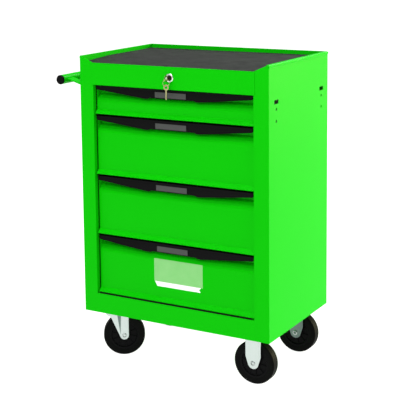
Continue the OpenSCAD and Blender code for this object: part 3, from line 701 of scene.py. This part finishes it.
def label_border(bm, top, front):
    """Raised border around the label."""
    bars = (((-BORDER_W, BORDER_FOOT), (BORDER_W, BORDER_FOOT + 1.8)),
            ((-BORDER_W, BORDER_TOP - 1.8), (BORDER_W, BORDER_TOP)),
            ((-BORDER_W, BORDER_FOOT + 1), (-BORDER_W + 2.6, BORDER_TOP - 0.8)),
            ((BORDER_W - 2.6, BORDER_FOOT + 1), (BORDER_W, BORDER_TOP - 0.8)))
    for (x0, z0), (x1, z1) in bars:
        block((xx(LABEL_X + x0), yy(front - 0.75), zz(top + z0)),
              (xx(LABEL_X + x1), yy(front + 1), zz(top + z1)), 0.35, bm)


LINER_IN = 3
LINER_Z = (1.0, 2.2)


def drawers():
    for n in DRAWERS:
        front_sheet(n)
        pull(n)
        softened(f"drawer_box_{n}", PAINT, 0.3)
        lo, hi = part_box(f"drawer_box_{n}")
        wide = (hi.x - lo.x) / MM - 2 * LINER_IN
        deep = (hi.y - lo.y) / MM - 2 * LINER_IN
        outline = mm_path([(0, 0), (wide, 0), (wide, deep), (0, deep)], 3, 3, True,
                          lo.x + LINER_IN * MM, lo.y + LINER_IN * MM)
        pad = prism(outline, "Z", lo.z + LINER_Z[0] * MM, lo.z + LINER_Z[1] * MM, 0.3)
        piece(f"drawer_liner_{n}", pad, MAT_RUBBER, f"drawer_{n}")


BALL_R = 1.05
BALL_IN = 5.0           # from the slide's outer face
BALL_OFF = 1.2          # above and below the middle member
BALLS = 12
BALL_START = 18
BALL_PITCH = 27.0


def runners():
    """Slide members with two rows of balls on each side."""
    for n in DRAWERS:
        for kind in ("outer", "mid", "inner"):
            softened(f"slide_{kind}_{n}", RAIL, 0.25)
        lo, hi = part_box(f"slide_mid_{n}")
        bm = bmesh.new()
        for x in (lo.x + BALL_IN * MM, hi.x - BALL_IN * MM):
            for z in (lo.z - BALL_OFF * MM, hi.z + BALL_OFF * MM):
                for i in range(BALLS):
                    ball = bmesh.new()
                    bmesh.ops.create_icosphere(ball, subdivisions=2, radius=BALL_R * MM)
                    bmesh.ops.translate(ball, verts=ball.verts[:],
                                        vec=(x, lo.y + (BALL_START + i * BALL_PITCH) * MM, z))
                    merge(bm, ball)
        piece(f"slide_balls_{n}", bm, CHROME, f"slide_{n}")


# ---------- side handle ----------
TUBE_T = 1.6
PLUG_LIP = 6.0
PLUG_DEPTH = 16
HEAD_R = 6.5
HEAD = [(0, 2.4), (2.4, 2.4), (2.9, 0.15), (4.2, 0.0), (5.6, 0.8), (6.4, 2.3), (HEAD_R, 3.9), (HEAD_R, 4.0),
        (3.0, 4.0), (3.0, 17), (0, 17)]
NUT = [(3.0, 9.4), (5.6, 9.2), (6.3, 9.9), (6.3, 13.6), (5.6, 14.2), (3.0, 14.0)]


def push_handle():
    lo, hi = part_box("handle_tube")
    centre = (lo + hi) / 2
    r = (hi.x - lo.x) / 2 / MM
    half = (hi.y - lo.y) / 2 / MM
    wall = mirrored([(r - TUBE_T, half), (r - 0.4, half), (r, half - 0.5)])
    piece("push_tube", lathe(metres(wall), "Y", centre, 72, closed=True), PAINT, "cabinet", ("handle_tube",))
    tube_plugs(centre, r)
    softened("handle_brackets", PAINT, 0.6)
    lo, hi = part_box("bracket_bolts")
    bolts = bmesh.new()
    for y in (lo.y + HEAD_R * MM, hi.y - HEAD_R * MM):
        for z in (lo.z + HEAD_R * MM, hi.z - HEAD_R * MM):
            merge(bolts, lathe(metres(HEAD), "X", (lo.x, y, z), 40))
            merge(bolts, lathe(metres(NUT), "X", (lo.x, y, z), 6))
    piece("push_handle_bolts", bolts, BOLT, "cabinet", ("bracket_bolts",))


def tube_plugs(centre, r):
    """Moulded plugs with a domed lip in both ends of a tube of radius r."""
    lo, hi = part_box("handle_end_caps")
    end = (hi.y - lo.y) / 2 / MM
    bore = r - 1.7
    shape = [(0, end - 0.9), (7.5, end - 0.9), (8.6, end), (r - 3.2, end), (r - 1.1, end - 0.7),
             (r + 0.1, end - 2.4), (r + 0.2, end - 5.2), (r - 0.3, end - PLUG_LIP), (bore, end - PLUG_LIP),
             (bore, end - PLUG_DEPTH), (0, end - PLUG_DEPTH)]
    plugs = bmesh.new()
    for s in (-1, 1):
        merge(plugs, lathe([(a * MM, s * b * MM) for a, b in shape], "Y", centre, 56))
    piece("push_tube_plugs", plugs, BLACK, "cabinet", ("handle_end_caps",))


# ---------- casters ----------
PLATE_X, PLATE_Y, PLATE_T = 46, 39, 3       # half sizes and thickness of the mounting plate
BOLT_X, BOLT_Y = 36, 28                     # half the pitch of its bolts
LEG_IN, LEG_OUT = 18, 21                    # both faces of a fork's leg, from the wheel's middle
PRESS_IN = 20.5                             # where a pressed panel starts, inside the leg
CROWN = 138.0
CROWN_T = 3
CROWN_BACK = -26
CROWN_AHEAD = 13
CROWN_SIDE = 19.5
KINGPIN_HOLE = 6.5
BORE = 6.06
TIP_R = 13.5
PANEL_R = 11.5
AXLE = mirrored([(0, 21.6), (3.0, 21.6), (4.4, 24), (5.6, 24), (7.2, 23.2), (7.4, 21.2), (8, 21.2), (8, 21),
                 (6, 21)])
RACE = [(0, 153.2), (21.5, 153.2), (23, 152.2), (23, 149.4), (21.2, 147.6), (21.2, 145.4), (23, 143.6),
        (23, 139.4), (22.4, 138.5), (0, 138.5)]
KINGPIN = [(0, 138.6), (6, 138.6), (6, 134.6), (8.2, 134.4), (9, 133.6), (8.2, 131.8), (5, 131.1), (0, 131.1)]
SWIVEL_DISC = [(BORE, CROWN - 3), (27.5, CROWN - 3), (29, CROWN - 2), (29, CROWN - 1), (27.6, CROWN),
               (19, CROWN), (BORE, CROWN)]


def mount_plate(x, y, z, bm):
    """Rounded caster plate."""
    outline = mm_path([(-PLATE_X, -PLATE_Y), (PLATE_X, -PLATE_Y), (PLATE_X, PLATE_Y), (-PLATE_X, PLATE_Y)],
                      6, 5, True, x, y)
    return prism(outline, "Z", z - PLATE_T * MM, z, 0.5, bm)


def both_legs(outline, inner, outer, inner_ease, outer_ease, bm, middle=0.0):
    """The same flat part on both sides of the wheel, its inner and outer rims eased separately."""
    prism(outline, "Y", middle - outer * MM, middle - inner * MM, (outer_ease, inner_ease), bm)
    prism(outline, "Y", middle + inner * MM, middle + outer * MM, (inner_ease, outer_ease), bm)


def axle(axis, hub):
    return lathe(metres(AXLE), along(axis), hub, 40)


def swivel_casters():
    plates = bmesh.new()
    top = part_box("swivel_plates")[1].z
    for side in ("front", "back"):
        pin, _ = spot(f"swivel_{side}_turn")
        hub, axis = spot(f"wheel_{side}_left_roll")
        mount_plate(pin.x, pin.y, top, plates)
        merge(plates, lathe(metres(RACE), "Z", (pin.x, pin.y, 0), 64))
        merge(plates, lathe(metres(KINGPIN), "Z", (pin.x, pin.y, 0), 40))
        ahead = Vector((hub.x - pin.x, hub.y - pin.y, 0))
        trail = ahead.length / MM
        ahead.normalize()
        turn = Matrix.Translation((pin.x, pin.y, 0)) @ Matrix((
            (ahead.x, axis.x, 0, 0), (ahead.y, axis.y, 0, 0), (0, 0, 1, 0), (0, 0, 0, 1)))
        # The band down each leg is drawn in darker zinc: a painted reflection.
        reflection_bands = swivel_reflection_bands(trail, hub.z / MM)
        bmesh.ops.transform(reflection_bands, matrix=turn, verts=reflection_bands.verts[:])
        piece(f"swivel_reflection_band_{side}", reflection_bands, PAINTED_SHADE_ZINC, f"swivel_{side}")
        fork = swivel_fork(trail, hub.z / MM)
        bmesh.ops.transform(fork, matrix=turn, verts=fork.verts[:])
        piece(f"swivel_fork_{side}_skin", fork, ZINC, f"swivel_{side}", (f"swivel_fork_{side}",))
        piece(f"swivel_axle_{side}_skin", axle(axis, hub), BOLT, f"swivel_{side}", (f"swivel_axle_{side}",))
    piece("swivel_plates_skin", plates, ZINC, "cabinet", ("swivel_plates",))


def swivel_reflection_bands(trail, hub_z):
    """Pressed band down the outer face of each leg, coloured in darker zinc as a painted reflection of the
    leg's dark middle band.
    """
    outline = [(trail - 9.5, CROWN - 4), (trail - 22, CROWN - 4), (trail - 12.6, hub_z + 8),
               (trail - 12, hub_z + 1)]
    bm = bmesh.new()
    both_legs(mm_path(outline, [2, 3, 2, 2], 4, True), 20.9, 21.3, 0.15, 0.15, bm)
    return bm


def swivel_fork(trail, hub_z):
    """Fork with its kingpin on Z and its wheel ahead on X: legs, pressed panels and a crown with a disc."""
    leg = [(trail + TIP_R, CROWN), (-27, CROWN), (-27, CROWN - 9), (-23, CROWN - 13), (-13, CROWN - 17)]
    leg = mm_path(leg + arc(trail, hub_z, TIP_R, 208, 360, 18), [4, 4, 3, 4, 6] + [0] * 19, 4, True)
    panel = [(trail + PANEL_R, CROWN - 4), (trail - 9, CROWN - 4)] + arc(trail, hub_z, PANEL_R, 195, 360, 14)
    panel = mm_path(panel, [3, 5] + [0] * 15, 4, True)
    bm = bmesh.new()
    both_legs(leg, LEG_IN, LEG_OUT, 0.4, 1.7, bm)
    both_legs(panel, PRESS_IN, 22.1, 0, 0.9, bm)
    merge(bm, lathe(metres(SWIVEL_DISC), "Z", (0, 0, 0), 64, closed=True))
    hole = KINGPIN_HOLE
    ahead = trail + CROWN_AHEAD
    for x0, x1, y0, y1 in ((CROWN_BACK, ahead, -CROWN_SIDE, -hole), (CROWN_BACK, ahead, hole, CROWN_SIDE),
                           (hole, ahead, -7, 7), (CROWN_BACK, -hole, -7, 7)):
        block((x0 * MM, y0 * MM, (CROWN - CROWN_T) * MM), (x1 * MM, y1 * MM, CROWN * MM), 0.3, bm)
    return bm


def rigid_casters():
    axles = bmesh.new()
    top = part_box("swivel_plates")[1].z
    # The back fork takes the darker zinc as painted shade, for the dark reflection it shows under the
    # cabinet; the front fork keeps the bright zinc.
    for side, lit_or_shaded_zinc in (("front", ZINC), ("back", PAINTED_SHADE_ZINC)):
        forks = bmesh.new()
        hub, axis = spot(f"wheel_{side}_right_roll")
        hub_z = hub.z / MM
        mount_plate(hub.x, hub.y, top, forks)
        leg = [(24, 153.4), (-24, 153.4), (-24, hub_z + 19)] + arc(0, hub_z, 17, 195, 345, 18)
        leg = mm_path(leg + [(24, hub_z + 19)], [0, 0, 14] + [0] * 19 + [14], 5, True, hub.x, 0)
        panel = [(18.5, 150), (-18.5, 150), (-18.5, hub_z + 20)] + arc(0, hub_z, 12, 195, 345, 14)
        panel = mm_path(panel + [(18.5, hub_z + 20)], [4, 4, 12] + [0] * 15 + [12], 4, True, hub.x, 0)
        both_legs(leg, LEG_IN, LEG_OUT, 0.4, 1.9, forks, hub.y)
        both_legs(panel, PRESS_IN, 21.7, 0, 0.8, forks, hub.y)
        merge(axles, axle(axis, hub))
        piece(f"rigid_fork_{side}_skin", forks, lit_or_shaded_zinc, "cabinet", (f"rigid_fork_{side}",))
    piece("rigid_axles_skin", axles, BOLT, "cabinet", ("rigid_axles",))


def caster_bolts():
    """Plate bolts, each with the domed end of its shank below the nut."""
    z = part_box("caster_bolts")[0].z / MM
    tip = metres([(0, z - 2.6), (3.1, z - 2.6), (3.8, z - 1.9), (3.8, z + 0.5), (0, z + 0.5)])

    def bolt_ends(bm):
        for side in ("front", "back"):
            for joint in (f"swivel_{side}_turn", f"wheel_{side}_right_roll"):
                centre, _ = spot(joint)
                for dx in (-BOLT_X, BOLT_X):
                    for dy in (-BOLT_Y, BOLT_Y):
                        merge(bm, lathe(tip, "Z", (centre.x + dx * MM, centre.y + dy * MM, 0), 24))

    softened("caster_bolts", BOLT, 0.5, extra=bolt_ends)


TYRE_HALF = [(44, 14), (50, 14.9), (62.5, 15), (62.5, 5.6), (62.0, 5.2), (62.0, 4.4), (62.5, 4.0)]
TYRE_ROUNDS = [0, 3, 8, 0, 0, 0, 0]
HUB_HALF = [(BORE, 17), (9.5, 17), (10.2, 16.4), (16.2, 16.6), (17, 15.8), (19, 10.6), (37.2, 10.3),
            (38.6, 12.8), (39.4, 14), (44, 14)]
SPOKES = 10
SPOKE_R = (17.6, 38.6)
SPOKE_T, SPOKE_W = 1.1, 13.0                # half sizes
SPOKE_TURN = 8


def wheels():
    rim = round_path(mirrored(TYRE_HALF), TYRE_ROUNDS + TYRE_ROUNDS[::-1], 7, True)
    for place in ("front_left", "back_left", "front_right", "back_right"):
        hub, axis = spot(f"wheel_{place}_roll")
        turn = along(axis)
        tyre_bm = lathe(metres(rim), turn, hub, 96, closed=True)
        piece(f"tyre_{place}_skin", tyre_bm, TYRE, f"wheel_{place}", (f"tyre_{place}",))
        bm = lathe(metres(mirrored(HUB_HALF)), "Z", (0, 0, 0), 72, closed=True)
        for i in range(SPOKES):
            spoke = block((SPOKE_R[0] * MM, -SPOKE_T * MM, -SPOKE_W * MM),
                          (SPOKE_R[1] * MM, SPOKE_T * MM, SPOKE_W * MM), 0.4)
            angle = math.radians(360 / SPOKES * i + SPOKE_TURN)
            bmesh.ops.rotate(spoke, verts=spoke.verts[:], cent=(0, 0, 0),
                             matrix=Matrix.Rotation(angle, 3, "Z"))
            merge(bm, spoke)
        bmesh.ops.transform(bm, matrix=Matrix.Translation(hub) @ turn, verts=bm.verts[:])
        piece(f"hub_{place}_skin", bm, BLACK, f"wheel_{place}", (f"hub_{place}",))


# ---------- lock and keys ----------
BEZEL = [(8.06, -3.4), (8.5, -4.3), (9.2, -4.5), (10.6, -4.5), (11.7, -4.0), (12.35, -3.2), (12.5, -2.4),
         (12.5, -1.2), (11, -1.2), (11, 20), (8.06, 20)]
PLUG_RING = [(5.6, -3.4), (5.7, -3.9), (6.3, -3.9), (6.4, -3.4)]
KEY_BOW_R = 9.5
SPARE_BOW_R = 8.5
BLADE_SHOULDER = 17.4
RING_R, WIRE_R = 9.5, 0.8
SPARE_MORE = 25         # how far the spare key's blade hangs below its short solid


def bow(outer, axis, centre):
    """A key's round flat head with its hole."""
    half = [(4.5, 0.85), (4.9, 1.0), (outer - 0.4, 1.0), (outer, 0.8)]
    return lathe(metres(mirrored(half)), axis, centre, 56, closed=True)


def locking():
    place, _ = spot("lock_turn")
    centre = (place.x, FRONT, place.z)
    bezel = lathe(metres(BEZEL), "Y", centre, 72, closed=True)
    piece("lock_bezel", bezel, CHROME, "cabinet", ("lock_housing",))

    def plug_face(bm):
        merge(bm, lathe(metres(PLUG_RING), "Y", centre, 48, closed=True))

    softened("lock_cylinder", CORE, 0.3, extra=plug_face)
    softened("lock_bar", ZINC, 0.25)
    lock_key(place)
    split_ring()
    spare_key()


def lock_key(place):
    """The key in the lock: its bow stands on edge in front, and its cut blade runs into the cylinder."""
    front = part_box("key")[0].y
    bm = bow(KEY_BOW_R, "X", (place.x, front + KEY_BOW_R * MM, place.z))
    start = (front - FRONT) / MM + BLADE_SHOULDER
    blade = [(start, -4.4), (-4.1, -4.4), (-4.1, -3.7), (-1, -3.7), (1, -2.5), (3, -3.7), (6, -2.2),
             (8, -3.4), (11, -3.7), (14.6, -1.4), (14.9, 2.6), (13.5, 3.7), (-4.1, 3.7), (-4.1, 4.4),
             (start, 4.4)]
    outline = [Vector((yy(a), place.z + b * MM)) for a, b in blade]
    prism(outline, "X", place.x - 1.0 * MM, place.x + 1.0 * MM, 0.3, bm)
    piece("key_in_lock", bm, BRASSY, "lock", ("key",))


def split_ring():
    lo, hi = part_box("key_ring")
    _, swing_axis = spot("spare_swing")
    wire = arc(RING_R, 0, WIRE_R, 0, 345, 23)
    across = along(swing_axis.cross(Vector((0, 0, 1))))
    bm = lathe(metres(wire), across, (lo + hi) / 2, 80, closed=True)
    piece("split_ring", bm, BRASSY, "ring", ("key_ring",))


def spare_key():
    lo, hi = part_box("spare_key")
    top = hi.z - SPARE_BOW_R * MM
    centre = (lo + hi) / 2
    bm = bow(SPARE_BOW_R, "Y", (centre.x, centre.y, top))
    tip = (lo.z - top) / MM - SPARE_MORE
    blade = [(-2.2, -6), (-2.2, tip + 2), (-1, tip), (1.0, tip + 0.6), (2.1, tip + 3), (1.0, tip + 5),
             (1.6, tip + 7), (0.8, tip + 9.4), (2.1, tip + 11.6), (1.2, tip + 13.4), (2.2, tip + 16),
             (2.2, -6)]
    outline = [Vector((centre.x + a * MM, top + b * MM)) for a, b in blade]
    prism(outline, "Y", centre.y - 0.95 * MM, centre.y + 0.95 * MM, 0.25, bm)
    piece("spare_key_skin", bm, BRASSY, "spare", ("spare_key",))


# ---------- sticker ----------
DECAL_X = (-70, 91)
DECAL_FOOT = 264        # height of the panel's lower edge, where the ribbon starts
RIBBON_H = 14


def sticker():
    """Plain two-tone decal on the last drawer: a pale panel over a white ribbon with pointed ends."""
    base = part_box("drawer_front_4")[1].z / MM + PULL_RISE - POCKET_H
    skin = 14.88
    path = [Vector((yy(skin), zz(DECAL_FOOT))), Vector((yy(skin), zz(base))),
            Vector((yy(15.3), zz(base + 2.3)))]
    panel = prism(strip(path, 0.16 * MM), "X", xx(DECAL_X[0]), xx(DECAL_X[1]), 0)
    piece("decal_panel", panel, FILM, "drawer_4")
    foot = DECAL_FOOT - RIBBON_H
    middle = DECAL_FOOT - RIBBON_H / 2
    ribbon = [(-68, DECAL_FOOT), (86, DECAL_FOOT), (79, middle), (84, foot), (-60, foot), (-64, middle)]
    outline = mm_path(ribbon, 0.8, 3, True, CX, 0)
    band = prism(outline, "Y", yy(14.78), yy(15.1), 0)
    piece("decal_ribbon", band, WHITE_FILM, "drawer_4")


shell()
back_wall()
worktop()
drawers()
runners()
push_handle()
swivel_casters()
rigid_casters()
caster_bolts()
wheels()
locking()
sticker()


# ---------- floor, light and camera ----------
WHITE = (1.0, 1.0, 1.0)
WARM = (1.0, 0.95, 0.52)
PANELS = (  # name, place, what it faces, width, watts, colour
    ("right_panel", (5.2, 4.4, 0.9), (0.3, 0, 0.45), 4.4, 960.0, WARM),
    ("front_panel", (0.4, -4.6, 3.4), (0, 0, 0.5), 2.8, 125.0, WHITE),
    ("back_panel", (0.9, 4.4, 3.4), (0, 0, 0.9), 2.0, 110.0, WHITE),
    ("top_panel", (0.2, -0.8, 4.2), (0, 0, 0.8), 2.4, 135.0, WHITE))


def stage():
    bm = bmesh.new()
    bmesh.ops.create_grid(bm, x_segments=8, y_segments=8, size=60.0)
    me = bpy.data.meshes.new("floor")
    bm.to_mesh(me)
    bm.free()
    me.materials.append(plain_floor())
    floor = bpy.data.objects.new("floor", me)
    bpy.context.scene.collection.objects.link(floor)

    world = bpy.data.worlds.new("studio")
    world.use_nodes = True
    sky = world.node_tree.nodes["Background"]
    sky.inputs["Color"].default_value = (*WHITE, 1.0)
    sky.inputs["Strength"].default_value = 0.42
    bpy.context.scene.world = world

    for name, place, facing, width, watts, colour in PANELS:
        lamp = bpy.data.lights.new(name, "AREA")
        lamp.color = colour
        lamp.shape = "SQUARE"
        lamp.size = width
        lamp.energy = watts
        obj = bpy.data.objects.new(name, lamp)
        bpy.context.scene.collection.objects.link(obj)
        obj.location = place
        obj.rotation_euler = (Vector(facing) - Vector(place)).to_track_quat("-Z", "Y").to_euler()


CAMERA_PLACE = (1.68006, -2.91779, 1.26678)
AZIMUTH, ELEVATION, ROLL = 30.406, 7.346, -0.707


def camera():
    """Camera to the right of the front and a little above it, with a shifted lens."""
    cam = bpy.data.cameras.new("camera")
    cam.lens = 102.911
    cam.sensor_width = 36.0
    cam.shift_x = 0.052836
    cam.shift_y = -0.298088
    cam.clip_end = 200.0
    turn, tilt, roll = math.radians(AZIMUTH), math.radians(ELEVATION), math.radians(ROLL)
    back = Vector((math.sin(turn) * math.cos(tilt), -math.cos(turn) * math.cos(tilt), math.sin(tilt)))
    level = Vector((math.cos(turn), math.sin(turn), 0))
    upright = back.cross(level)
    right = level * math.cos(roll) + upright * math.sin(roll)
    up = upright * math.cos(roll) - level * math.sin(roll)
    obj = bpy.data.objects.new("camera", cam)
    obj.matrix_world = Matrix.Translation(CAMERA_PLACE) @ Matrix((
        (right.x, up.x, back.x, 0), (right.y, up.y, back.y, 0), (right.z, up.z, back.z, 0), (0, 0, 0, 1)))
    bpy.context.scene.collection.objects.link(obj)
    bpy.context.scene.camera = obj


stage()
camera()
bpy.context.scene.view_settings.view_transform = "Standard"
